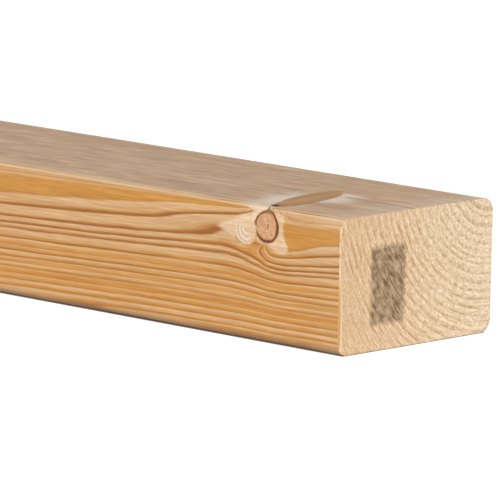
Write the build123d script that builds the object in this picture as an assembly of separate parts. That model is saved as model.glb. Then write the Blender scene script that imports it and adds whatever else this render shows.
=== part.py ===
from build123d import *

import os

# Planed softwood framing stud, lying on one of its wide faces as it is stacked and sold.
#
# The stud is one sawn length of timber. A planer has dressed its four long faces and rounded
# the four long edges between them, and a crosscut saw has left both ends flat and square.
#
# X runs along the grain, Y across the wide faces and Z up through the thickness.
# The origin is the middle of the wide face that the stud lies on.

# Driving dimensions, in millimetres
STUD_LENGTH = 2400.0  # between the two sawn ends
STUD_WIDTH = 63.0  # across a wide face, which is the depth of the wall that it frames
STUD_THICKNESS = 38.0  # across a narrow face, which boards are fixed to
ARRIS_RADIUS = 3.8  # of the rounded long edges


def planed_section():
    """The cross-section that the planer leaves: a rectangle with its four corners rounded."""
    with BuildSketch(Plane.YZ) as section:
        with Locations((0, STUD_THICKNESS / 2)):
            RectangleRounded(STUD_WIDTH, STUD_THICKNESS, ARRIS_RADIUS)
    return section.sketch


def timber_stud():
    """The section drawn out along the grain, half its length each way from the origin."""
    return extrude(planed_section(), amount=STUD_LENGTH / 2, both=True)


os.makedirs("parts", exist_ok=True)
export_step(timber_stud(), "parts/timber_stud.step")
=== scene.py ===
import math

import bmesh
import bpy
import numpy as np
from mathutils import Matrix, Vector


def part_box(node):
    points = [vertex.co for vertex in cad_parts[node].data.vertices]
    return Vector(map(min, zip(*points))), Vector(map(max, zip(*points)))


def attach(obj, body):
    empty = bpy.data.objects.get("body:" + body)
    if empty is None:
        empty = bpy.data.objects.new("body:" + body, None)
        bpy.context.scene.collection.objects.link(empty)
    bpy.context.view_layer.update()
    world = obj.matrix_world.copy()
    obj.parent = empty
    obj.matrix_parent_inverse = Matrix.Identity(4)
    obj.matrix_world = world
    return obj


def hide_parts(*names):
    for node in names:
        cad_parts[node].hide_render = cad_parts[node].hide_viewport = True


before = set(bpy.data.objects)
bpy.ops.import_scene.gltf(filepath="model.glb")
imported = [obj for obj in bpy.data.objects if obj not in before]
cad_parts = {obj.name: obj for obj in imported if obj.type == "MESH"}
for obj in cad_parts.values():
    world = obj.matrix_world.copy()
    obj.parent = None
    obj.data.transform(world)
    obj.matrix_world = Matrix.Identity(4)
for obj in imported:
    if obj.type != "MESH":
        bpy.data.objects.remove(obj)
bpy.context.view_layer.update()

# A planed softwood stud: its grain, its knots and its sawn ends.
#
# Lengths below are in millimetres, in the stud's own directions: x along the grain, measured
# from the sawn end that faces the camera and so never above 0, y across and z up.

MM = 0.001
NODE = "timber_stud"
low_corner, high_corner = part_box(NODE)
STUD_LENGTH = (high_corner.x - low_corner.x) / MM
STUD_BACK = high_corner.y / MM
STUD_FRONT = low_corner.y / MM
STUD_TOP = high_corner.z / MM
STUD_BOTTOM = low_corner.z / MM
STUD_MIDDLE_Z = (STUD_TOP + STUD_BOTTOM) / 2
STUD_WIDTH = STUD_BACK - STUD_FRONT
STUD_THICKNESS = STUD_TOP - STUD_BOTTOM
SAWN_END = high_corner.x / MM
ARRIS_RADIUS = 3.8

# The tree that the stud was sawn from: its pith ran just above the upper face, near the back
PITH_BEFORE_BACK = 1.0
PITH_ABOVE = 9.1
PITH_Y = STUD_BACK - PITH_BEFORE_BACK
PITH_Z = STUD_TOP + PITH_ABOVE
PITH_STRAIGHT = 200.0  # the pith runs straight for this far from the sawn end
PITH_WANDER = 3.5
PITH_WAVE = 1500.0
PITH_UP_AND_DOWN = 1.7  # times as often as to and fro

# Growth rings: wide ones near the pith, then the narrow ones that reach the front face, each with
# its width, the share of it that stays pale and how much of a dark line it ends in
INNER_RINGS = 24
INNER_RINGS_REACH = 57.1
INNER_RING_WIDTH_SHARES = (0.6, 1.4)
INNER_PALE_SHARE = 0.5  # the most that a ring near the pith has
INNER_LINE_SHARE = 0.6
RING_SEED = 38
FRONT_RING_WIDTHS = (2.25, 2.10, 1.75, 1.00, 1.19, 0.70, 0.56, 1.19, 0.94, 0.63,
                     0.91, 0.73, 0.74, 0.96, 0.91, 1.12, 1.00, 1.05, 1.11)
FRONT_RING_PALE_SHARES = (0.80, 0.97, 0.18, 0.60, 0.66, 0.40, 0.40, 0.50, 0.25, 0.15,
                          0.34, 0.20, 0.34, 0.12, 0.20, 0.34, 0.40, 0.18, 0.06)
FRONT_RING_LINE_SHARES = (0.90, 0.45, 0.25, 0.90, 0.90, 0.95, 0.75, 0.80, 0.20, 0.75,
                          0.55, 0.10, 0.35, 0.10, 0.40, 0.45, 0.40, 0.30, 0.30)
LAST_RING_WIDTH = 1.2
LAST_RINGS = 8

# The trunk thickens towards its foot, so the rings draw in along the stud
TAPER_START = 60.0
TAPER_BLEND = 15.0
TAPER_SLOPE = 0.019
TAPER_REACH = 350.0

# Branches whose knots show, each with its place x on the pith, the way it points round the pith
# (degrees below the front), how far it climbs for each millimetre outwards, its thickest radius,
# and how much bark it has kept
FIRST_BRANCH_RADIUS = 4.85
BRANCHES = (
    (-42.6, 13.1, 0.232, FIRST_BRANCH_RADIUS, 1.0),
    (-418.0, 52.0, 0.30, 4.1, 0.4),
    (-441.0, 28.0, 0.24, 3.0, 0.1),
    (-836.0, 24.0, 0.28, 4.6, 0.9),
    (-842.0, 78.0, 0.22, 3.5, 0.2),
    (-1247.0, 41.0, 0.27, 4.3, 0.3),
    (-1262.0, 11.0, 0.30, 3.8, 0.6),
    (-1668.0, 64.0, 0.25, 4.8, 0.5),
    (-1684.0, 18.0, 0.27, 3.1, 0.1),
    (-2079.0, 33.0, 0.29, 4.3, 0.8),
    (-2091.0, 84.0, 0.23, 3.3, 0.2),
)
BRANCH_LENGTH = 65.7
BRANCH_PLACE_SHARES = (0.0, 0.41, 0.50, 0.58, 0.73, 0.81, 0.90, 0.935, 1.0)
BRANCH_RADIUS_SHARES = (0.30, 0.68, 0.86, 0.99, 1.00, 0.90, 0.87, 0.815, 0.90)
BRANCH_BOW_SHARE = 0.16  # of its climb, by which a branch rises above its straight line
BARK_FROM_SHARE = 0.60  # of a branch's length, outside which its bark was grown over
BARK_FULL_SHARE = 0.90

# A bud that never grew out, beside the first knot on the front face
BUD_X = -35.1
BUD_BELOW_TOP = 7.0
BUD_DEPTH = 13.0
BUD_RADIUS = 4.4
BUD_LIFT = 0.30  # by which the rings lift towards the bud, from its side towards the foot of the tree
BUD_LIFT_REACH = 38.0
BUD_LIFT_FULL_SHARE = 0.4  # of that reach, within which the lift is full
BUD_LIFT_HEIGHT = 2.2
BUD_FACING = (-0.64, 0.0, -0.77)  # the way that its arcs show: down and towards the foot of the tree

# How the rings bend past the first branch, and past a thinner one less: by how much beside it, and how
# far along the grain and across it. Towards the foot of the tree they bend outwards, differently
# above the branch, with a long swell added. Towards the crown they bend inwards, differently at the
# branch's level and above it
BEND_FOOT = 1.78
BEND_FOOT_ALONG = 8.0
BEND_FOOT_ABOVE = 3.8
BEND_FOOT_ABOVE_ALONG = 4.0
BEND_FOOT_ACROSS = 4.5
BEND_SWELL = 0.77
BEND_SWELL_REACH = 60.0
BEND_CROWN = 3.6
BEND_CROWN_ALONG = 24.0
BEND_CROWN_LEVEL = 1.45
BEND_CROWN_ABOVE = 1.65
BEND_CROWN_ABOVE_ALONG = 250.0
BEND_CROWN_ACROSS = 8.5
BEND_GROWS_OVER = 30.0  # along the branch, from its root

# Where the one bend turns into the other: this far to each side of the branch's middle, and further
# away from the branch by a share of the gap to it, up to the most. Above it the turn starts nearer
# the crown
BEND_TURN = 1.5
BEND_TURN_FOOT_SHARE = 2.4
BEND_TURN_FOOT_MOST = 18.0
BEND_TURN_CROWN_SHARE = 1.3
BEND_TURN_CROWN_MOST = 10.0
BEND_TURN_ABOVE = 3.2

# Heights above a branch's middle between which the bends change from one to the next
BELOW_HEIGHTS = (1.0, -3.0)
ABOVE_HEIGHTS = (1.0, 4.0)
FOOT_ABOVE_HEIGHTS = (-3.0, 0.5)
CROWN_LEVEL_HEIGHTS = (-4.5, 0.0)
CROWN_ABOVE_HEIGHTS = (0.0, 5.0)

# Near a branch the latewood is wider below it and narrower above it, by this share of a ring
LATEWOOD_SHIFT_SHARE = 0.7
LATEWOOD_SHIFT_LEVEL = 2.0
LATEWOOD_SHIFT_BLEND = 3.0
LATEWOOD_SHIFT_REACH = 8.0

# Pale wood that healed over round a knot: a wedge towards the foot of the tree, and a border whose
# width is listed by the way round the knot, in degrees up from the side away from the foot. Beside
# a branch that was cut lengthwise the border is wider, but lies only on the side towards the foot
# near the branch's tip and only on the other side further in
HEALED_TURNS = (-180, -140, -110, -90, -74, -62, -54, -46, -36, -28, -20, -10, 8, 25, 50, 75, 180)
HEALED_BORDERS = (1.8, 1.0, 0.6, 0.4, 1.4, 2.9, 3.9, 4.9, 5.7, 4.7, 3.0, 2.0, 1.9, 2.8, 2.9, 2.2, 1.8)
HEALED_WEDGE = 10.0
BUD_WEDGE = 12.0
HEALED_BORDER_ALONG = 6.5
HEALED_BORDER_HIDDEN = -4.0
HEALED_TIP_SHARES = (0.52, 0.68)
HEALED_INNER_SHARES = (0.41, 0.51)
HEALED_OUTER_SHARES = (0.79, 0.68)
HEALED_CUT_SHARES = (0.7, 0.3)  # from a branch cut across to one cut lengthwise
KNOT_CUT_SHARES = (0.75, 0.35)

# A pocket of bark at the front tip of the first branch, where it comes out of the upper face
POCKET_X = -29.8
POCKET_BEHIND_FRONT = 5.8
POCKET_TURN = math.radians(-47.0)
POCKET_HALF_LENGTH = 1.9
POCKET_HALF_WIDTH = 1.1
POCKET_DEPTH = 0.8

# Thin dark lines, each from one point to another, with half its width, how strong it is and its
# colour: the crack from the pocket to the knot, the crack in the knot's heart, and resin on top
CRACKS = (
    ((-29.7, STUD_FRONT + 4.6, STUD_TOP), (-28.2, STUD_FRONT + 1.2, STUD_TOP - 1.0),
     0.25, 0.90, (112, 62, 22)),
    ((-27.0, STUD_FRONT, STUD_TOP - 5.7), (-26.8, STUD_FRONT, STUD_TOP - 4.7),
     0.22, 0.70, (112, 62, 22)),
    ((-25.0, STUD_FRONT + 30.3, STUD_TOP), (0.0, STUD_FRONT + 30.3, STUD_TOP),
     0.70, 0.75, (160, 82, 16)),
)

# Relief, all of it cut into the planed faces and none of it above them
EARLYWOOD_DEPTH = 0.02
KNOT_EDGE_DEPTH = 0.30
KNOT_EDGE_WIDTH = 0.55
SAW_DEPTH = 0.14
SAW_PITCH = 2.3
SAW_TILT = math.radians(62.0)
SAW_WAVE_SHARE = 0.4  # of the depth, for even waves, and the rest for torn grain
SAW_FROM_RIM = 2.0
SAW_SEED = 63
RIM_CHAMFER = 0.25

# Looks of the wood. Of two lengths, what they describe sets in at the first and is full at the second
LONG_WAVER = 0.22  # of the rings
SHORT_WAVER = 0.14
LATEWOOD_WAVER = 0.3
LATEWOOD = (-0.1, 0.35)  # past its start
RING_LINE = (0.42, 0.14)  # before the ring's end
RING_END = (0.0, 0.1)
WIDE_RING = (0.8, 2.0)
EVEN_WOOD = (45.0, 85.0)  # from a sawn end
# Painted sheen near a sawn end, by the distance from it
END_SHEEN_GAPS = (16.0, 0.0)
TORN_FIBRES = (0.4, 0.0)
TORN_RAGGED = 1.6
# Heights over which the lower rounded edges are darkened by painted shade
LOWER_SHADE_HEIGHTS = (2.4, 0.5)  # above the floor
KNOT_ROUGHNESS = 0.8
KNOT_EDGES = (0.15, 0.5)  # how soft they are where a branch was cut across, and where lengthwise
HEALED_EDGES = (0.7, 4.0)
BUD_EDGE = 0.5
BARK_WIDTH = 0.6
BARK_UNEVEN = 1.5
BARK_FULL = 0.05
BARK_INSIDE = 0.2  # by which the bark's middle lies inside the knot's outline
CRACK_ROUGHNESS = 0.25
FIBRE_BUMP = 0.2
GRAIN_BUMP = 0.3

# The front edge of a sawn end, worn towards its foot: an orange strip with a pale line beside it
WORN_EDGE = 0.8
WORN_HEIGHTS = (31.0, 9.0)
WORN_STRIP = (-0.05, -0.45)
WORN_LINE_PLACE = 0.3
WORN_LINE = (0.6, 0.2)

# A plain patch of faded ink on the near end, as a marking pad leaves
INK_LOW = (-18.6, 7.4)
INK_HIGH = (-4.9, 28.8)
INK_EDGE = 0.9
INK_RAGGED = 2.0

# Mesh: a fine stretch round the first knot, a middling one as far as the camera sees, and the rest
FINE_LENGTH = 55.0
FINE_ROW = 0.7
NEAR_LENGTH = 150.0
NEAR_ROW = 1.4
COARSE_ROW = 24.0
KNOT_ROW = 3.2
KNOT_ROW_REACH = 15.0
LEAST_ROW = 1.6
WIDE_FACE_STEPS = 80
NARROW_FACE_STEPS = 44
ARRIS_STEPS = 8
FINE_CAP_RINGS = 24
COARSE_CAP_RINGS = 12
SAME_PLACE = 0.001  # points nearer to each other than this are one
SHARP_ANGLE = math.radians(40.0)

# The flat map to bake the materials into: where each stretch of the stud lies in it, as
# its left and low edge in pixels, and its pixels to the millimetre. The stretch that the camera sees
# gets the most, and the rest lies in strips above one another
FLAT_MAP = "OFBake"
FLAT_PIXELS = 1024
FLAT_MARGIN = 4
FLAT_NEAR = (4, 488, 3.5)
FLAT_ENDS = ((758, 4, 6.8), (758, 440, 6.8))
FLAT_STRIPS = 3
FLAT_STRIPS_LEFT = 28
FLAT_STRIPS_LOW = 4
FLAT_STRIPS_ALONG = 0.95
FLAT_STRIPS_AROUND = 0.8
SECTION_AROUND = 2 * (STUD_WIDTH + STUD_THICKNESS - 4 * ARRIS_RADIUS) + 2 * math.pi * ARRIS_RADIUS

# The photograph's camera: a long lens from low on the right
CAMERA_AZIMUTH = 42.983
CAMERA_ELEVATION = 9.359
CAMERA_ROLL = 1.238
CAMERA_DISTANCE = 1779.6
CAMERA_ASIDE = -45.45
CAMERA_RAISED = 26.03
FOCAL_PIXELS = 6459.4
IMAGE_PIXELS = 500
SENSOR_WIDTH = 36.0
CLIP_START = 10.0

# The stage: a floor that the camera sees as white, a bright horizon and one soft lamp
WHITE = (1.0, 1.0, 1.0, 1.0)
FLOOR_SIZE = 400.0  # metres
FLOOR_GREY = (0.4, 0.4, 0.4, 1.0)
FLOOR_GLOW = 0.9
CONTACT_SHADE = 0.6  # how near the stud the floor darkens
HORIZON_LIGHT = 1.8
ZENITH_LIGHT = 0.15
HORIZON_SHARE = 0.55  # of the way up, over which the one light turns into the other
LAMP_LIGHT = 2.85
LAMP_SPREAD = math.radians(35.0)
LAMP_TILT = math.radians(71.0)
LAMP_TURN = math.radians(40.0)


def section_loop():
    """The planed section as y, z points, once round, starting on the front face."""
    half_width = STUD_WIDTH / 2 - ARRIS_RADIUS
    half_height = STUD_THICKNESS / 2 - ARRIS_RADIUS
    corners = ((-half_width, half_height), (half_width, half_height),
               (half_width, -half_height), (-half_width, -half_height))
    face_steps = (WIDE_FACE_STEPS, NARROW_FACE_STEPS, WIDE_FACE_STEPS, NARROW_FACE_STEPS)
    points = []
    for index, (corner, steps) in enumerate(zip(corners, face_steps)):
        start_angle = math.pi - index * math.pi / 2
        for step in range(ARRIS_STEPS):
            angle = start_angle - math.pi / 2 * step / ARRIS_STEPS
            points.append((corner[0] + ARRIS_RADIUS * math.cos(angle),
                           corner[1] + ARRIS_RADIUS * math.sin(angle)))
        outward = start_angle - math.pi / 2
        offset = np.array((math.cos(outward), math.sin(outward))) * ARRIS_RADIUS
        first = np.array(corner) + offset
        last = np.array(corners[(index + 1) % 4]) + offset
        for step in range(steps):
            points.append(tuple(first + (last - first) * step / steps))
    return np.array(points) + (0.0, STUD_MIDDLE_Z)


def near_rows():
    """Places along the near stretch, close together round its knot."""
    fine = np.arange(-RIM_CHAMFER, -FINE_LENGTH, -FINE_ROW)
    return [*fine, *np.arange(fine[-1] - NEAR_ROW, -NEAR_LENGTH, -NEAR_ROW)]


def coarse_rows():
    """Places along the rest of the stud: widely spaced, and close together where a knot comes out."""
    rows = set(np.arange(-NEAR_LENGTH - COARSE_ROW, -STUD_LENGTH + COARSE_ROW, -COARSE_ROW))
    for root, _, climb, _, _ in BRANCHES:
        first = root - KNOT_ROW_REACH
        last = root + climb * BRANCH_LENGTH + KNOT_ROW_REACH
        rows.update(np.arange(first, last, KNOT_ROW))
    rows = sorted((row for row in rows if row < -NEAR_LENGTH - LEAST_ROW), reverse=True)
    kept = [rows[0]]
    for row in rows[1:]:
        if kept[-1] - row > LEAST_ROW:
            kept.append(row)
    kept.append(-STUD_LENGTH + RIM_CHAMFER)
    return kept


def cap_loops(loop, rings):
    """The loops of a sawn end from its rim inwards, shrinking towards the line along its middle."""
    half_line = STUD_WIDTH / 2 - STUD_THICKNESS / 2
    middle = np.full_like(loop, STUD_MIDDLE_Z)
    middle[:, 0] = np.clip(loop[:, 0], -half_line, half_line)
    rim_share = 2 * RIM_CHAMFER / STUD_THICKNESS
    return [loop + (middle - loop) * share for share in np.linspace(rim_share, 1.0, rings)]


def around_shares(loop):
    """How far round the section each of its points lies, ending with 1 for the first one again."""
    steps = np.linalg.norm(np.roll(loop, -1, axis=0) - loop, axis=1)
    return np.concatenate(((0.0,), np.cumsum(steps) / steps.sum()))


def flat_place(point, around_share, row_place, at_end):
    """Where a corner of a face lies in the flat map. The row that the face ends at tells its stretch."""
    around = around_share * SECTION_AROUND
    if at_end:
        left, low, scale = FLAT_ENDS[0 if point.x > -STUD_LENGTH / 2 else 1]
        pixels = (left + (point.z - STUD_BOTTOM) * scale, low + (point.y - STUD_FRONT) * scale)
    elif row_place > -NEAR_LENGTH:
        left, low, scale = FLAT_NEAR
        pixels = (left + around * scale, low - point.x * scale)
    else:
        strip_length = (STUD_LENGTH - NEAR_LENGTH) / FLAT_STRIPS
        strip = int((-row_place - NEAR_LENGTH) / strip_length)
        along = -point.x - NEAR_LENGTH - strip * strip_length
        low = FLAT_STRIPS_LOW + strip * (SECTION_AROUND * FLAT_STRIPS_AROUND + FLAT_MARGIN)
        pixels = (FLAT_STRIPS_LEFT + along * FLAT_STRIPS_ALONG, low + around * FLAT_STRIPS_AROUND)
    return pixels[0] / FLAT_PIXELS, pixels[1] / FLAT_PIXELS


def stud_mesh():
    """A closed mesh of the stud before any relief. Its sawn ends have the second material."""
    fine = section_loop()
    coarse = fine[::2]
    rings = [(0.0, loop, 1) for loop in reversed(cap_loops(fine, FINE_CAP_RINGS))]
    rings += [(place, fine, 0) for place in near_rows()]
    rings += [(place, coarse, 0) for place in coarse_rows()]
    rings += [(-STUD_LENGTH, loop, 1) for loop in cap_loops(coarse, COARSE_CAP_RINGS)]

    built = bmesh.new()
    flat_map = built.loops.layers.uv.new(FLAT_MAP)
    previous = None
    for place, loop, kind in rings:
        current = [built.verts.new((place, y, z)) for y, z in loop]
        shares = around_shares(loop)
        if previous is not None:
            stride = len(previous) // len(current)
            for index in range(len(current)):
                after = (index + 1) % len(current)
                steps = range(index * stride, index * stride + stride + 1)
                edge = [previous[step % len(previous)] for step in steps]
                face = built.faces.new(edge + [current[after], current[index]])
                face.material_index = max(kind, previous_kind)
                face.smooth = True
                corner_shares = [previous_shares[step] for step in steps] + [shares[index + 1], shares[index]]
                for corner, share in zip(face.loops, corner_shares):
                    corner[flat_map].uv = flat_place(corner.vert.co, share, place, face.material_index)
        previous = current
        previous_shares = shares
        previous_kind = kind
    ends = [vert for vert in built.verts
            if min(abs(vert.co.x), abs(vert.co.x + STUD_LENGTH)) < SAME_PLACE
            and abs(vert.co.z - STUD_MIDDLE_Z) < SAME_PLACE]
    bmesh.ops.remove_doubles(built, verts=ends, dist=SAME_PLACE)
    bmesh.ops.recalc_face_normals(built, faces=built.faces)
    mesh = bpy.data.meshes.new("timber_stud_wood")
    built.to_mesh(mesh)
    built.free()
    mesh.set_sharp_from_angle(angle=SHARP_ANGLE)
    return mesh


def smooth_step(value, start, end):
    share = np.clip((value - start) / (end - start), 0.0, 1.0)
    return share * share * (3.0 - 2.0 * share)


def pith_at(x):
    """Where the pith runs, as y and z. It wanders a little, away from the sawn end."""
    wander = PITH_WANDER * smooth_step(-x, PITH_STRAIGHT, PITH_WAVE)
    turn = 2.0 * math.pi * x / PITH_WAVE
    return PITH_Y + wander * np.sin(turn), PITH_Z + wander * np.cos(PITH_UP_AND_DOWN * turn)


def taper_at(x):
    """How far the rings have drawn in towards the pith."""
    run = TAPER_BLEND * np.logaddexp(0.0, (-x - TAPER_START) / TAPER_BLEND)
    return -TAPER_SLOPE * TAPER_REACH * (1.0 - np.exp(-run / TAPER_REACH))


def ring_edges():
    """Distances from the pith at which one growth ring ends and the next begins."""
    random = np.random.default_rng(RING_SEED)
    inner = random.uniform(*INNER_RING_WIDTH_SHARES, INNER_RINGS)
    inner *= INNER_RINGS_REACH / inner.sum()
    widths = np.concatenate((inner, FRONT_RING_WIDTHS, np.full(LAST_RINGS, LAST_RING_WIDTH)))
    return np.concatenate(((0.0,), np.cumsum(widths)))


def branch_lines():
    """Each branch as its root, direction, length, thickest radius and bark, and whether it grew out."""
    lines = []
    for root, turn, climb, radius, bark in BRANCHES:
        root_y, root_z = pith_at(np.float64(root))
        angle = math.radians(turn)
        axis = np.array((climb, -math.cos(angle), -math.sin(angle)))
        lines.append(((root, root_y, root_z), axis, BRANCH_LENGTH, radius, bark, 1.0))
    bud_root = (BUD_X, STUD_FRONT + BUD_DEPTH, STUD_TOP - BUD_BELOW_TOP)
    lines.append((bud_root, np.array((0.0, -1.0, 0.0)), BUD_DEPTH, BUD_RADIUS, 0.0, 0.0))
    return lines


def grain_fields(points, normals):
    """The grain at each point: its growth ring, and how it lies to the nearest branch."""
    x, y, z = points.T
    pith_y, pith_z = pith_at(x)
    distance = np.hypot(y - pith_y, z - pith_z) + taper_at(x)
    count = len(points)
    nearest = np.full(count, np.inf)
    healed = np.full(count, np.inf)
    latewood_shift = np.zeros(count)
    fields = {}
    for root, axis, length, thickest, kept_bark, grown in branch_lines():
        axis = axis / np.linalg.norm(axis)
        offset = points - root
        along = offset @ axis
        along_share = np.clip(along / length, 0.0, 1.0)
        bow = 4.0 * BRANCH_BOW_SHARE * along_share * (1.0 - along_share) * axis[0] * length
        aside = offset - along[:, None] * axis - bow[:, None] * (1.0, 0.0, 0.0)
        off_axis = np.linalg.norm(aside, axis=1)
        radius = thickest * np.interp(along / length, BRANCH_PLACE_SHARES, BRANCH_RADIUS_SHARES)
        gap = off_axis - radius + np.maximum(-along, 0.0)
        if grown:
            distance += ring_bend(aside, radius, gap, along) * thickest / FIRST_BRANCH_RADIUS
        else:
            distance += bud_lift(aside, along)
        latewood_shift += grown * latewood_shift_beside(aside, gap)
        crosscut = np.abs(normals @ axis)
        border = grown * healed_border(aside, along_share, crosscut)
        wedge_length = HEALED_WEDGE if grown else BUD_WEDGE
        healed = np.minimum(healed, healed_gap(aside, radius, gap, along, border, wedge_length))
        closer = gap < nearest
        nearest = np.where(closer, gap, nearest)
        bark = kept_bark * smooth_step(along_share, BARK_FROM_SHARE, BARK_FULL_SHARE)
        own = {
            "knot_share": off_axis / radius,
            "knot_bark": bark,
            "knot_crosscut": crosscut,
            "knot_grown": np.full(count, grown),
        }
        for name, values in own.items():
            fields[name] = np.where(closer, values, fields.get(name, 0.0))
    edges = ring_edges()
    fields["ring"] = np.interp(distance, edges, np.arange(len(edges)))
    fields["ring_width"] = np.interp(distance, (edges[:-1] + edges[1:]) / 2, np.diff(edges))
    fields["latewood_shift"] = latewood_shift
    fields["arris"] = np.arctan2(np.abs(normals[:, 2]), np.abs(normals[:, 1])) * 2.0 / math.pi
    fields["knot_gap"] = nearest
    fields["healed_gap"] = healed
    fields["pocket"] = pocket_share(points)
    fields["rim_gap"] = rim_gap(y, z)
    return fields


def ring_bend(aside, radius, gap, along):
    """How much further from the pith a point seems to lie, because the rings bend past a branch."""
    run = np.abs(aside[:, 0])
    height = aside[:, 2]
    across = np.maximum(np.hypot(aside[:, 1], height) - radius, 0.0)
    clear = np.maximum(gap, 0.0)
    below = smooth_step(height, *BELOW_HEIGHTS)
    above = smooth_step(height, *ABOVE_HEIGHTS)
    turn_start = -np.minimum(BEND_TURN + BEND_TURN_FOOT_SHARE * clear * below, BEND_TURN_FOOT_MOST)
    turn_start += BEND_TURN_ABOVE * above
    turn_end = np.minimum(BEND_TURN + BEND_TURN_CROWN_SHARE * clear, BEND_TURN_CROWN_MOST)
    turn_end += (BEND_TURN_CROWN_MOST - turn_end) * above
    crown_share = smooth_step(aside[:, 0], turn_start, turn_end)
    swell = BEND_SWELL * smooth_step(run, BEND_SWELL_REACH, BEND_SWELL_REACH / 2)
    foot_above = smooth_step(height, *FOOT_ABOVE_HEIGHTS)
    foot = (1.0 - foot_above) * BEND_FOOT * np.exp(-run / BEND_FOOT_ALONG)
    foot += foot_above * BEND_FOOT_ABOVE * np.exp(-run / BEND_FOOT_ABOVE_ALONG)
    foot = (foot + swell) * np.exp(-across / BEND_FOOT_ACROSS)
    crown_level = smooth_step(height, *CROWN_LEVEL_HEIGHTS)
    further_up = smooth_step(height, *CROWN_ABOVE_HEIGHTS)
    crown_above = BEND_CROWN_LEVEL + (BEND_CROWN_ABOVE - BEND_CROWN_LEVEL) * further_up
    crown = (1.0 - crown_level) * BEND_CROWN * np.exp(-run / BEND_CROWN_ALONG)
    crown += crown_level * crown_above * np.exp(-run / BEND_CROWN_ABOVE_ALONG)
    crown = crown * np.exp(-across / BEND_CROWN_ACROSS)
    grown = np.clip(along / BEND_GROWS_OVER, 0.0, 1.0)
    return grown * ((1.0 - crown_share) * foot - crown_share * crown)


def bud_lift(aside, along):
    """How much further from the pith a point seems to lie, because the rings lift towards the bud."""
    foot_side = smooth_step(aside[:, 0], -BUD_LIFT_REACH, -BUD_LIFT_REACH * BUD_LIFT_FULL_SHARE)
    foot_side = foot_side * smooth_step(aside[:, 0], BUD_RADIUS / 2, -BUD_RADIUS)
    lift = BUD_LIFT * smooth_step(along, 0.0, BUD_DEPTH)
    return lift * foot_side * np.exp(-(aside[:, 2] / BUD_LIFT_HEIGHT) ** 2)


def latewood_shift_beside(aside, gap):
    """How much later, as a share of a ring, the latewood starts beside a branch."""
    above = np.tanh((aside[:, 2] - LATEWOOD_SHIFT_LEVEL) / LATEWOOD_SHIFT_BLEND)
    return LATEWOOD_SHIFT_SHARE * above * np.exp(-np.maximum(gap, 0.0) / LATEWOOD_SHIFT_REACH)


def healed_border(aside, along_share, crosscut):
    """How wide the pale wood beside a branch is, which depends on how the branch was cut."""
    near_tip = smooth_step(along_share, *HEALED_TIP_SHARES)
    further_in = smooth_step(along_share, *HEALED_INNER_SHARES)
    further_in = further_in * smooth_step(along_share, *HEALED_OUTER_SHARES)
    shows = np.where(aside[:, 0] < 0.0, near_tip, further_in)
    beside = HEALED_BORDER_HIDDEN + (HEALED_BORDER_ALONG - HEALED_BORDER_HIDDEN) * shows
    turn = np.degrees(np.arctan2(aside[:, 2], aside[:, 0]))
    border = np.interp(turn, HEALED_TURNS, HEALED_BORDERS)
    return border + (beside - border) * smooth_step(crosscut, *HEALED_CUT_SHARES)


def healed_gap(aside, radius, gap, along, border, wedge_length):
    """How far a point lies outside the pale wood that healed over round a branch."""
    narrowing = np.maximum(1.0 + aside[:, 0] / wedge_length, 0.0)
    past_wedge = np.maximum(-aside[:, 0] - wedge_length, 0.0) + np.maximum(-along, 0.0)
    wedge = np.hypot(aside[:, 1], aside[:, 2]) - (radius + border) * narrowing + past_wedge
    return np.where(aside[:, 0] < 0.0, np.minimum(gap - border, wedge), gap - border)


def pocket_share(points):
    """How far inside the bark pocket a point of the upper face lies: 1 at its middle, 0 at its edge."""
    x, y, z = points.T
    offset_x = x - POCKET_X
    offset_y = y - STUD_FRONT - POCKET_BEHIND_FRONT
    along = offset_x * math.cos(POCKET_TURN) + offset_y * math.sin(POCKET_TURN)
    across = offset_y * math.cos(POCKET_TURN) - offset_x * math.sin(POCKET_TURN)
    share = 1.0 - (along / POCKET_HALF_LENGTH) ** 2 - (across / POCKET_HALF_WIDTH) ** 2
    on_top = z > STUD_TOP - ARRIS_RADIUS / 2
    return np.where(on_top, share, -1.0).clip(-1.0, 1.0)


def rim_gap(y, z):
    """How far a point of a sawn end lies inside its rim."""
    across = np.abs(y) - (STUD_WIDTH / 2 - ARRIS_RADIUS)
    up = np.abs(z - STUD_MIDDLE_Z) - (STUD_THICKNESS / 2 - ARRIS_RADIUS)
    outside_core = np.hypot(np.maximum(across, 0.0), np.maximum(up, 0.0))
    inside_core = np.minimum(np.maximum(across, up), 0.0)
    return ARRIS_RADIUS - outside_core - inside_core


def face_normals(points):
    """The outward direction of the plain stud at each point of its surface."""
    x, y, z = points.T
    inner_y = np.clip(y, STUD_FRONT + ARRIS_RADIUS, STUD_BACK - ARRIS_RADIUS)
    inner_z = np.clip(z, STUD_BOTTOM + ARRIS_RADIUS, STUD_TOP - ARRIS_RADIUS)
    normals = np.column_stack((np.zeros(len(x)), y - inner_y, z - inner_z))
    at_near_end = x > -RIM_CHAMFER / 2
    at_far_end = x < -STUD_LENGTH + RIM_CHAMFER / 2
    normals[at_near_end] = (1.0, 0.0, 0.0)
    normals[at_far_end] = (-1.0, 0.0, 0.0)
    return normals / np.linalg.norm(normals, axis=1)[:, None]


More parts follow.
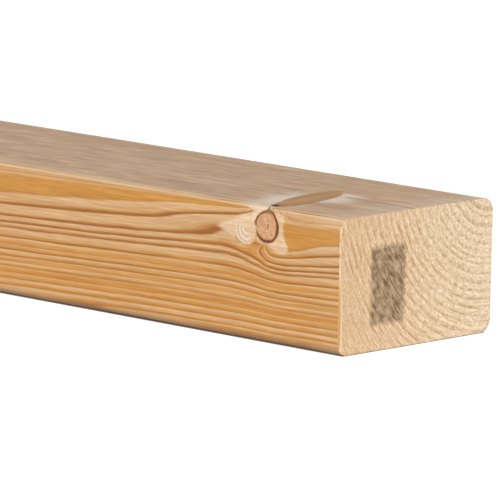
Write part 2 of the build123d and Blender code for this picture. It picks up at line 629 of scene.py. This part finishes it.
def relief_depth(points, normals, fields):
    """How deep each point lies below the plain stud: soft earlywood, knot edges and saw marks."""
    x, y, z = points.T
    ring_share = fields["ring"] % 1.0
    planed = EARLYWOOD_DEPTH * (1.0 - ring_share ** 2)
    planed += KNOT_EDGE_DEPTH * fields["knot_bark"] * np.exp(-(fields["knot_gap"] / KNOT_EDGE_WIDTH) ** 2)
    planed += POCKET_DEPTH * np.maximum(fields["pocket"], 0.0)
    random = np.random.default_rng(SAW_SEED)
    across_saw = y * math.cos(SAW_TILT) + z * math.sin(SAW_TILT)
    sawn = 0.5 + 0.5 * np.sin(2.0 * math.pi * across_saw / SAW_PITCH)
    sawn = SAW_DEPTH * (SAW_WAVE_SHARE * sawn + (1.0 - SAW_WAVE_SHARE) * random.random(len(x)))
    sawn *= smooth_step(fields["rim_gap"], 0.0, SAW_FROM_RIM)
    return np.where(np.abs(normals[:, 0]) > 0.5, sawn, planed)


def placed(name, data):
    """A new object in the scene."""
    made = bpy.data.objects.new(name, data)
    bpy.context.scene.collection.objects.link(made)
    return made


def stud_piece():
    """The stud as a Blender object, with its grain stored on its points."""
    mesh = stud_mesh()
    flat = np.empty(len(mesh.vertices) * 3, np.float32)
    mesh.vertices.foreach_get("co", flat)
    points = flat.reshape(-1, 3).astype(float)
    normals = face_normals(points)
    fields = grain_fields(points, normals)
    for name, values in fields.items():
        attribute = mesh.attributes.new(name, "FLOAT", "POINT")
        attribute.data.foreach_set("value", values.astype(np.float32))
    shaped = points - normals * relief_depth(points, normals, fields)[:, None]
    shaped[:, 0] += SAWN_END
    mesh.vertices.foreach_set("co", (shaped * MM).astype(np.float32).ravel())
    mesh.update()
    return placed("timber_stud_wood", mesh)


def srgb(red, green, blue):
    """A colour written as screen values from 0 to 255, as Blender's linear colour."""
    channels = []
    for value in (red, green, blue):
        share = value / 255.0
        channels.append(share / 12.92 if share <= 0.04045 else ((share + 0.055) / 1.055) ** 2.4)
    return (*channels, 1.0)


class Shader:
    """A material's or the world's node tree, with a short call for each kind of node that it uses."""

    def __init__(self, owner, surface="Principled BSDF"):
        owner.use_nodes = True
        self.owner = owner
        self.tree = owner.node_tree
        self.surface = self.tree.nodes[surface]

    def feed(self, socket, value):
        if isinstance(value, bpy.types.NodeSocket):
            self.tree.links.new(value, socket)
        else:
            socket.default_value = value

    def finished(self, inputs):
        """The material or world, once its surface has been given these inputs."""
        for name, value in inputs.items():
            self.feed(self.surface.inputs[name], value)
        return self.owner

    def node(self, kind, inputs, **settings):
        made = self.tree.nodes.new(kind)
        for setting, value in settings.items():
            setattr(made, setting, value)
        for socket, value in inputs.items():
            self.feed(made.inputs[socket], value)
        return made

    def attribute(self, name):
        return self.node("ShaderNodeAttribute", {}, attribute_name=name).outputs["Fac"]

    def math(self, operation, first, second=0.0, clamp=False):
        made = self.node("ShaderNodeMath", {0: first, 1: second}, operation=operation, use_clamp=clamp)
        return made.outputs[0]

    def plus(self, first, second):
        return self.math("ADD", first, second)

    def minus(self, first, second):
        return self.math("SUBTRACT", first, second)

    def times(self, first, *others):
        product = first
        for value in others:
            product = self.math("MULTIPLY", product, value)
        return product

    def vector(self, operation, first, second=(0.0, 0.0, 0.0), result="Vector"):
        return self.node("ShaderNodeVectorMath", {0: first, 1: second}, operation=operation).outputs[result]

    def split(self, vector):
        return self.node("ShaderNodeSeparateXYZ", {"Vector": vector}).outputs

    def rise(self, value, start, end):
        """0 below start, 1 above end and smooth between, or falling where end is below start."""
        inputs = {"Value": value, "From Min": start, "From Max": end}
        made = self.node("ShaderNodeMapRange", inputs, interpolation_type="SMOOTHSTEP")
        return made.outputs["Result"]

    def between(self, share, first, second):
        return self.node("ShaderNodeMix", {0: share, 2: first, 3: second}).outputs[0]

    def blend(self, share, first, second, kind="MIX"):
        inputs = {0: share, 6: first, 7: second}
        return self.node("ShaderNodeMix", inputs, data_type="RGBA", blend_type=kind).outputs[2]

    def tint(self, colour, value, low, darkest):
        """Multiplies a colour by a tint that is darkest below low and white above 1 - low."""
        shade = self.ramp(value, ((low, darkest), (1.0 - low, WHITE)))
        return self.blend(1.0, colour, shade, kind="MULTIPLY")

    def ramp(self, value, stops, interpolation="LINEAR"):
        made = self.node("ShaderNodeValToRGB", {"Fac": value})
        made.color_ramp.interpolation = interpolation
        elements = made.color_ramp.elements
        while len(elements) < len(stops):
            elements.new(0.5)
        for element, (place, colour) in zip(elements, stops):
            element.position = place
            element.color = colour
        return made.outputs["Color"]

    def bump(self, height, depth):
        inputs = {"Height": height, "Strength": 0.25, "Distance": depth * MM}
        return self.node("ShaderNodeBump", inputs).outputs["Normal"]


class Wood(Shader):
    """A new wood material. Its place is where a point lies, in metres from the stud's own origin."""

    def __init__(self, name):
        super().__init__(bpy.data.materials.new(name))
        self.place = self.node("ShaderNodeTexCoord", {}).outputs["Object"]

    def coordinate(self, axis):
        """A point's x, y or z in millimetres."""
        return self.math("DIVIDE", self.split(self.place)[axis], MM)

    def noise_at(self, vector, detail):
        inputs = {"Vector": vector, "Scale": 1.0, "Detail": detail}
        return self.node("ShaderNodeTexNoise", inputs).outputs["Fac"]

    def noise(self, frequencies, detail=2.0):
        """Noise from 0 to 1, with so many waves to the metre along x, y and z."""
        return self.noise_at(self.vector("MULTIPLY", self.place, frequencies), detail)

    def flat_noise(self, first, second):
        """Noise from 0 to 1 over two values, with about one wave to each unit of them."""
        spread = self.node("ShaderNodeCombineXYZ", {"X": first, "Y": second}).outputs["Vector"]
        return self.noise_at(spread, 3.0)

    def swing(self, noise, size):
        """Noise as a swing of that size about 0."""
        return self.times(self.minus(noise, 0.5), size)

    def line_gap(self, start, end):
        """The distance in millimetres from a line between two points of the stud."""
        start = Vector((start[0] + SAWN_END, start[1], start[2])) * MM
        end = Vector((end[0] + SAWN_END, end[1], end[2])) * MM
        run = end - start
        offset = self.vector("SUBTRACT", self.place, start)
        along = self.vector("DOT_PRODUCT", offset, run / run.length_squared, "Value")
        inputs = {0: run, "Scale": self.math("ADD", along, 0.0, clamp=True)}
        nearest = self.node("ShaderNodeVectorMath", inputs, operation="SCALE").outputs["Vector"]
        gap = self.vector("DISTANCE", offset, nearest, "Value")
        return self.math("DIVIDE", gap, MM)


class Rings:
    """The growth rings in a material: which ring a point lies in, and what that ring is like."""

    def __init__(self, wood):
        long_waver = wood.swing(wood.noise((22.0, 130.0, 130.0)), LONG_WAVER)
        short_waver = wood.swing(wood.noise((95.0, 420.0, 420.0)), SHORT_WAVER)
        self.width = wood.attribute("ring_width")
        waver = wood.math("DIVIDE", wood.plus(long_waver, short_waver), self.width)
        self.place = wood.plus(wood.attribute("ring"), waver)
        self.share = wood.math("FRACT", self.place)
        number = wood.math("FLOOR", self.place)
        random = wood.node("ShaderNodeTexWhiteNoise", {"W": number}, noise_dimensions="1D").outputs["Color"]
        own = wood.node("ShaderNodeSeparateColor", {"Color": random}).outputs
        listed = wood.node("ShaderNodeSeparateColor", {"Color": self.listed(wood, number)}).outputs
        is_listed = wood.math("GREATER_THAN", number, INNER_RINGS - 0.5)
        self.own_share = own[2]
        self.pale_share = wood.between(is_listed, wood.times(own[0], INNER_PALE_SHARE), listed[0])
        self.line_share = wood.between(is_listed, wood.times(own[1], INNER_LINE_SHARE), listed[1])

    def listed(self, wood, number):
        """The pale and line shares of the rings that reach the front face, as red and green."""
        count = len(FRONT_RING_WIDTHS)
        shares = zip(FRONT_RING_PALE_SHARES, FRONT_RING_LINE_SHARES)
        stops = [(index / count, (pale, line, 0.0, 1.0)) for index, (pale, line) in enumerate(shares)]
        place = wood.math("DIVIDE", wood.minus(number, INNER_RINGS - 0.5), count)
        return wood.ramp(place, stops, "CONSTANT")


def planed_wood():
    """The planed faces: golden wood with orange latewood bands, and knots with a dark edge."""
    wood = Wood("planed_softwood")
    rings = Rings(wood)
    streak = streaks(wood, rings)
    fibre = wood.noise((45.0, 150.0, 1500.0), detail=3.0)
    fleck = wood.noise((190.0, 260.0, 2600.0), detail=3.0)
    colour = ring_colour(wood, rings, streak)
    colour = wide_face_colour(wood, colour)
    colour = healed_colour(wood, colour)
    colour = wood.tint(colour, streak, 0.30, srgb(240, 231, 214))
    colour = wood.tint(colour, fibre, 0.32, srgb(236, 229, 217))
    colour = wood.tint(colour, fleck, 0.30, srgb(239, 232, 221))
    for paint in (painted_edge_highlight, painted_lower_shade, painted_end_sheen, knot_colour, crack_colour, torn_edge_colour):
        colour = paint(wood, colour)
    return wood.finished({
        "Base Color": colour,
        "Roughness": planed_roughness(wood),
        "Specular IOR Level": 0.3,
        "Normal": wood.bump(fibre, FIBRE_BUMP),
    })


def streaks(wood, rings):
    """Noise drawn out along the grain, so that it follows the rings past a knot."""
    along = wood.times(wood.split(wood.place)["X"], 26.0)
    return wood.flat_noise(along, wood.times(rings.place, 9.0))


def ring_colour(wood, rings, streak):
    """A growth ring's colours from its pale start to its dark end, more even away from the sawn ends."""
    pale = wood.ramp(rings.share, ((0.0, srgb(226, 195, 159)), (0.6, srgb(220, 181, 136))))
    orange = wood.blend(rings.own_share, srgb(213, 159, 84), srgb(208, 150, 72))
    even = wood.times(wood.rise(end_gap(wood), *EVEN_WOOD), 0.13)
    pale = wood.blend(even, pale, orange)
    pale = wood.blend(wood.rise(rings.pale_share, -0.2, 0.45), orange, pale)
    waver = wood.math("DIVIDE", wood.swing(streak, LATEWOOD_WAVER), rings.width)
    turn = wood.plus(rings.pale_share, waver)
    turn = wood.plus(turn, wood.attribute("latewood_shift"))
    from_turn = wood.times(wood.minus(rings.share, turn), rings.width)
    to_end = wood.times(wood.minus(1.0, rings.share), rings.width)
    ending = wood.rise(to_end, *RING_END)
    orange_share = wood.times(wood.rise(from_turn, *LATEWOOD), ending)
    colour = wood.blend(orange_share, pale, orange)
    fading = wood.rise(wood.noise((30.0, 200.0, 200.0)), 0.1, 0.5)
    line = wood.times(wood.rise(to_end, *RING_LINE), ending, rings.line_share, fading)
    return wood.blend(line, colour, srgb(162, 100, 36))


def wide_face_colour(wood, colour):
    """Softens the rings on the wide faces, which are cut nearly along them, into broad bands."""
    wide_share = wood.times(wood.rise(wood.attribute("arris"), 0.7, 1.0), 0.6)
    broad = wood.noise((9.0, 70.0, 70.0))
    band = wood.blend(wood.rise(broad, 0.35, 0.65), srgb(222, 179, 128), srgb(241, 206, 164))
    fine = wood.noise((80.0, 350.0, 350.0), detail=4.0)
    band = wood.tint(band, fine, 0.36, srgb(208, 194, 176))
    return wood.blend(wide_share, colour, band)


def end_gap(wood):
    """How far from the nearer sawn end a point lies, in millimetres."""
    from_middle = wood.math("ABSOLUTE", wood.coordinate("X"))
    return wood.minus(STUD_LENGTH / 2, from_middle)


def painted_edge_highlight(wood, colour):
    """Two pale lines along each upper rounded edge, close to the wide face: painted highlights."""
    turn = wood.attribute("arris")
    outer_line = wood.times(wood.rise(turn, 0.50, 0.62), wood.rise(turn, 0.74, 0.64))
    inner_line = wood.times(wood.rise(turn, 0.74, 0.84), wood.rise(turn, 0.96, 0.86))
    upper = wood.math("GREATER_THAN", wood.coordinate("Z"), STUD_MIDDLE_Z)
    pale = wood.times(wood.math("MAXIMUM", outer_line, inner_line), upper, 0.45)
    return wood.blend(pale, colour, srgb(248, 216, 172))


def painted_lower_shade(wood, colour):
    """Darkens the lowest part of the rounded edges, where they turn down towards the floor: painted shade."""
    low_share = wood.rise(wood.coordinate("Z"), *LOWER_SHADE_HEIGHTS)
    low_share = wood.times(low_share, wood.rise(wood.attribute("arris"), 1.0, 0.95))
    return wood.blend(low_share, colour, srgb(192, 180, 162), kind="MULTIPLY")


def painted_end_sheen(wood, colour):
    """Paints the wood near a sawn end a little paler, most on the wide faces: a painted sheen."""
    most = wood.between(wood.attribute("arris"), 0.04, 0.38)
    sheen_share = wood.times(wood.rise(end_gap(wood), *END_SHEEN_GAPS), most)
    return wood.blend(sheen_share, colour, srgb(236, 212, 178))


def knot_roughness(wood):
    """How ragged a knot's outlines are, in millimetres."""
    return wood.swing(wood.noise((420.0, 420.0, 420.0)), KNOT_ROUGHNESS)


def cut_lengthwise(wood):
    """1 where the nearest branch was cut lengthwise, and 0 where it was cut across."""
    return wood.rise(wood.attribute("knot_crosscut"), *KNOT_CUT_SHARES)


def healed_colour(wood, colour):
    """Paints pale healed wood round the knots over the plain wood."""
    lengthwise = cut_lengthwise(wood)
    edge = wood.between(lengthwise, *HEALED_EDGES)
    gap = wood.plus(wood.attribute("healed_gap"), knot_roughness(wood))
    healed = wood.rise(gap, edge, wood.times(edge, -1.0))
    healed_wood = wood.blend(lengthwise, srgb(242, 217, 190), srgb(255, 242, 226))
    uneven = wood.between(wood.noise((60.0, 300.0, 300.0)), 0.80, 1.0)
    return wood.blend(wood.times(healed, uneven), colour, healed_wood)


def knot_colour(wood, colour):
    """Paints the knots and their bark over the wood round them."""
    rough = knot_roughness(wood)
    gap = wood.plus(wood.attribute("knot_gap"), rough)
    lengthwise = cut_lengthwise(wood)
    grown = wood.attribute("knot_grown")
    soft = wood.between(grown, BUD_EDGE, wood.between(lengthwise, *KNOT_EDGES))
    inside = wood.rise(gap, soft, wood.times(soft, -1.0))
    shows = wood.between(grown, bud_side(wood), 1.0)
    knot = knot_wood(wood, rough, grown, lengthwise)
    colour = wood.blend(wood.times(inside, shows), colour, knot)

    uneven = wood.swing(wood.noise((200.0, 200.0, 200.0)), BARK_UNEVEN)
    off_bark = wood.math("ABSOLUTE", wood.plus(gap, BARK_INSIDE))
    rim = wood.rise(off_bark, wood.plus(uneven, BARK_WIDTH), BARK_FULL)
    rim = wood.times(rim, wood.attribute("knot_bark"), wood.between(lengthwise, 1.0, 0.45))
    return wood.blend(rim, colour, srgb(94, 42, 4))


def knot_wood(wood, rough, grown, lengthwise):
    """A knot's own wood: rings where it was cut across, and streaks where it was cut lengthwise."""
    radial = wood.attribute("knot_share")
    wobbly = wood.plus(radial, wood.times(rough, 0.45))
    knot_ring = wood.math("FRACT", wood.times(wobbly, 4.5))
    cut_across = wood.ramp(knot_ring, (
        (0.00, srgb(216, 176, 140)),
        (0.55, srgb(211, 165, 125)),
        (0.92, srgb(197, 146, 106)),
        (1.00, srgb(214, 172, 136)),
    ))
    cut_across = wood.blend(wood.rise(radial, 0.62, 1.0), cut_across, srgb(204, 143, 92))
    speckle = wood.noise((900.0, 900.0, 900.0))
    cut_across = wood.tint(cut_across, speckle, 0.35, srgb(230, 220, 210))
    cut_across = wood.blend(grown, bud_colour(wood, wobbly), cut_across)
    drawn_out = wood.noise((900.0, 40.0, 900.0), detail=3.0)
    cut_along = wood.blend(wood.rise(drawn_out, 0.25, 0.75), srgb(170, 116, 56), srgb(204, 156, 94))
    return wood.blend(lengthwise, cut_across, cut_along)


def bud_side(wood):
    """Where the bud's arcs show: on its lower side, towards the foot of the tree."""
    middle = Vector((BUD_X + SAWN_END, STUD_FRONT, STUD_TOP - BUD_BELOW_TOP)) * MM
    outward = wood.vector("NORMALIZE", wood.vector("SUBTRACT", wood.place, middle))
    facing = wood.vector("DOT_PRODUCT", outward, BUD_FACING, "Value")
    return wood.rise(facing, -0.2, 0.7)


def bud_colour(wood, radial):
    """The cream arcs of a bud that never grew out."""
    bud_ring = wood.math("FRACT", wood.times(radial, 3.1))
    return wood.ramp(bud_ring, (
        (0.00, srgb(232, 207, 179)),
        (0.25, srgb(218, 190, 160)),
        (0.60, srgb(196, 163, 132)),
        (0.80, srgb(222, 196, 167)),
        (1.00, srgb(233, 208, 180)),
    ))


def crack_colour(wood, colour):
    """Darkens the bark pocket and the thin cracks."""
    rough = wood.swing(wood.noise((500.0, 500.0, 500.0)), CRACK_ROUGHNESS)
    for start, end, half_width, strength, dark in CRACKS:
        gap = wood.plus(wood.line_gap(start, end), rough)
        crack = wood.times(wood.rise(gap, half_width * 1.5, half_width * 0.5), strength)
        colour = wood.blend(crack, colour, srgb(*dark))
    pocket = wood.plus(wood.attribute("pocket"), wood.times(rough, 2.0))
    return wood.blend(wood.rise(pocket, -0.5, 0.7), colour, srgb(52, 30, 12))


def torn_edge_colour(wood, colour):
    """Pale torn fibres where the saw came through, along the rim of each end and fewer towards its foot."""
    ragged = wood.swing(wood.noise((300.0, 1300.0, 1300.0)), TORN_RAGGED)
    torn = wood.rise(wood.plus(end_gap(wood), ragged), *TORN_FIBRES)
    whole = wood.minus(1.0, worn_share(wood))
    return wood.blend(wood.times(torn, whole), colour, srgb(230, 200, 160))


def worn_share(wood):
    """How worn a sawn end's edge is: not at all at its top, and fully near its foot."""
    return wood.rise(wood.coordinate("Z"), *WORN_HEIGHTS)


def worn_edge_colour(wood, colour):
    """The worn front edge of a sawn end: a strip as orange as the front face, and a pale line beside it."""
    from_front = wood.minus(wood.coordinate("Y"), STUD_FRONT)
    worn = worn_share(wood)
    from_strip = wood.minus(from_front, wood.times(worn, WORN_EDGE))
    colour = wood.blend(wood.rise(from_strip, *WORN_STRIP), colour, srgb(198, 148, 92))
    off_line = wood.math("ABSOLUTE", wood.minus(from_strip, WORN_LINE_PLACE))
    pale_line = wood.times(wood.rise(off_line, *WORN_LINE), worn)
    return wood.blend(pale_line, colour, srgb(236, 206, 166))


def planed_roughness(wood):
    """Planed wood shines a little when seen low along it. A knot cut lengthwise and bark don't."""
    inside = wood.times(wood.rise(wood.attribute("knot_gap"), 0.3, -0.3), cut_lengthwise(wood))
    roughness = wood.between(inside, 0.42, 0.62)
    return wood.between(wood.rise(wood.attribute("pocket"), 0.0, 0.3), roughness, 1.0)


def sawn_wood():
    """The sawn ends: pale end grain, its rings drawn in short dashes."""
    wood = Wood("sawn_end_grain")
    rings = Rings(wood)
    grain = end_grain(wood, rings, 16.0, 4.0)
    fuzz = wood.noise((1100.0, 1100.0, 1100.0), detail=3.0)
    across = wood.rise(wood.coordinate("Y"), STUD_FRONT, STUD_BACK)
    colour = wood.blend(across, srgb(243, 217, 184), srgb(253, 237, 214))
    colour = wood.blend(end_ring_share(wood, rings, across), colour, srgb(182, 136, 90))
    colour = wood.tint(colour, grain, 0.34, srgb(230, 214, 192))
    colour = wood.tint(colour, fuzz, 0.34, srgb(236, 227, 214))
    colour = worn_edge_colour(wood, colour)
    colour = ink_colour(wood, colour, grain, fuzz)
    return wood.finished({
        "Base Color": colour,
        "Roughness": 0.85,
        "Specular IOR Level": 0.3,
        "Normal": wood.bump(grain, GRAIN_BUMP),
    })


def end_grain(wood, rings, round_pith, to_the_ring):
    """Noise that follows the rings, with so many waves round the pith and to each ring."""
    pith = (0.0, PITH_Y * MM, PITH_Z * MM)
    offset = wood.split(wood.vector("SUBTRACT", wood.place, pith))
    turn = wood.math("ARCTAN2", offset["Y"], offset["Z"])
    return wood.flat_noise(wood.times(turn, round_pith), wood.times(rings.place, to_the_ring))


def end_ring_share(wood, rings, across):
    """How much a ring shows on a sawn end: in dashes and patches, and less at the back and where narrow."""
    band = wood.times(wood.rise(rings.share, 0.3, 0.85), wood.rise(rings.share, 1.0, 0.88))
    dashes = wood.rise(end_grain(wood, rings, 12.0, 1.4), 0.35, 0.65)
    patches = wood.rise(wood.noise((70.0, 70.0, 70.0)), 0.35, 0.65)
    strength = wood.times(
        wood.between(dashes, 0.2, 0.85),
        wood.between(across, 1.0, 0.7),
        wood.between(patches, 0.45, 1.0),
        wood.between(wood.rise(rings.width, *WIDE_RING), 0.55, 1.0),
    )
    return wood.times(band, strength)


def ink_colour(wood, colour, grain, fuzz):
    """A plain patch of faded ink on the near end, taken up unevenly by the sawn grain."""
    ink = wood.math("GREATER_THAN", wood.split(wood.place)["X"], 0.0)
    for axis, low, high in zip("YZ", INK_LOW, INK_HIGH):
        ragged = wood.plus(wood.coordinate(axis), wood.swing(fuzz, INK_RAGGED))
        ink = wood.times(ink, wood.rise(ragged, low - INK_EDGE, low + INK_EDGE))
        ink = wood.times(ink, wood.rise(ragged, high + INK_EDGE, high - INK_EDGE))
    saw = wood.noise((100.0, 300.0, 500.0), detail=3.0)
    taken_up = wood.times(wood.rise(saw, 0.3, 0.65), wood.rise(grain, 0.75, 0.35), 0.5)
    return wood.blend(wood.times(ink, wood.plus(taken_up, 0.38)), colour, srgb(88, 62, 38))


def background_rays(shader):
    """1 for the rays that see the background itself, and 0 for those that only gather its light."""
    path = shader.node("ShaderNodeLightPath", {}).outputs
    seen = path["Is Camera Ray"]
    for name in ("Is Glossy Ray", "Is Transmission Ray"):
        seen = shader.math("MAXIMUM", seen, path[name])
    return seen


def white_floor():
    """A very large pale floor that is white to the camera and still takes the stud's shadow."""
    half = FLOOR_SIZE / 2
    mesh = bpy.data.meshes.new("floor")
    corners = ((-half, -half, 0), (half, -half, 0), (half, half, 0), (-half, half, 0))
    mesh.from_pydata(corners, (), ((0, 1, 2, 3),))
    floor = placed("floor", mesh)
    shader = Shader(bpy.data.materials.new("floor_white"))
    open_share = shader.node("ShaderNodeAmbientOcclusion", {"Distance": CONTACT_SHADE * MM}).outputs["AO"]
    shade = shader.math("POWER", open_share, 2.0)
    mesh.materials.append(shader.finished({
        "Base Color": FLOOR_GREY,
        "Roughness": 1.0,
        "Specular IOR Level": 0.0,
        "Emission Color": WHITE,
        "Emission Strength": shader.times(background_rays(shader), FLOOR_GLOW, shade),
    }))


def studio_light():
    """A world that is brightest near the horizon, as a ring of soft boxes is, and one soft lamp."""
    sky = Shader(bpy.data.worlds.new("studio"), "Background")
    direction = sky.node("ShaderNodeTexCoord", {}).outputs["Generated"]
    level = sky.node("ShaderNodeMapRange", {
        "Value": sky.split(direction)["Z"],
        "From Min": 0.0,
        "From Max": HORIZON_SHARE,
        "To Min": HORIZON_LIGHT,
        "To Max": ZENITH_LIGHT,
    }).outputs["Result"]
    strength = sky.between(background_rays(sky), level, 1.0)
    bpy.context.scene.world = sky.finished({"Color": WHITE, "Strength": strength})

    lamp = bpy.data.lights.new("soft_lamp", "SUN")
    lamp.energy = LAMP_LIGHT
    lamp.angle = LAMP_SPREAD
    placed("soft_lamp", lamp).rotation_euler = (LAMP_TILT, 0.0, LAMP_TURN)


def photo_camera():
    """The photograph's camera, worked out from the stud's edges in it."""
    azimuth = math.radians(CAMERA_AZIMUTH)
    elevation = math.radians(CAMERA_ELEVATION)
    back = Vector((math.sin(azimuth) * math.cos(elevation),
                   -math.cos(azimuth) * math.cos(elevation), math.sin(elevation)))
    level = Vector((math.cos(azimuth), math.sin(azimuth), 0.0))
    roll = Matrix.Rotation(math.radians(CAMERA_ROLL), 3, back)
    right = roll @ level
    up = back.cross(right)
    place = right * CAMERA_ASIDE + up * CAMERA_RAISED + back * CAMERA_DISTANCE
    place.x += SAWN_END
    data = bpy.data.cameras.new("camera")
    data.sensor_width = SENSOR_WIDTH
    data.lens = FOCAL_PIXELS / IMAGE_PIXELS * SENSOR_WIDTH
    data.clip_start = CLIP_START * MM
    data.clip_end = FLOOR_SIZE
    camera = placed("camera", data)
    turn = Matrix((right, up, back)).transposed().to_4x4()
    camera.matrix_world = Matrix.Translation(place * MM) @ turn
    bpy.context.scene.camera = camera


stud = stud_piece()
stud.data.materials.append(planed_wood())
stud.data.materials.append(sawn_wood())
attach(stud, "root")
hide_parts(NODE)

white_floor()
studio_light()
photo_camera()
bpy.context.scene.view_settings.view_transform = "Standard"
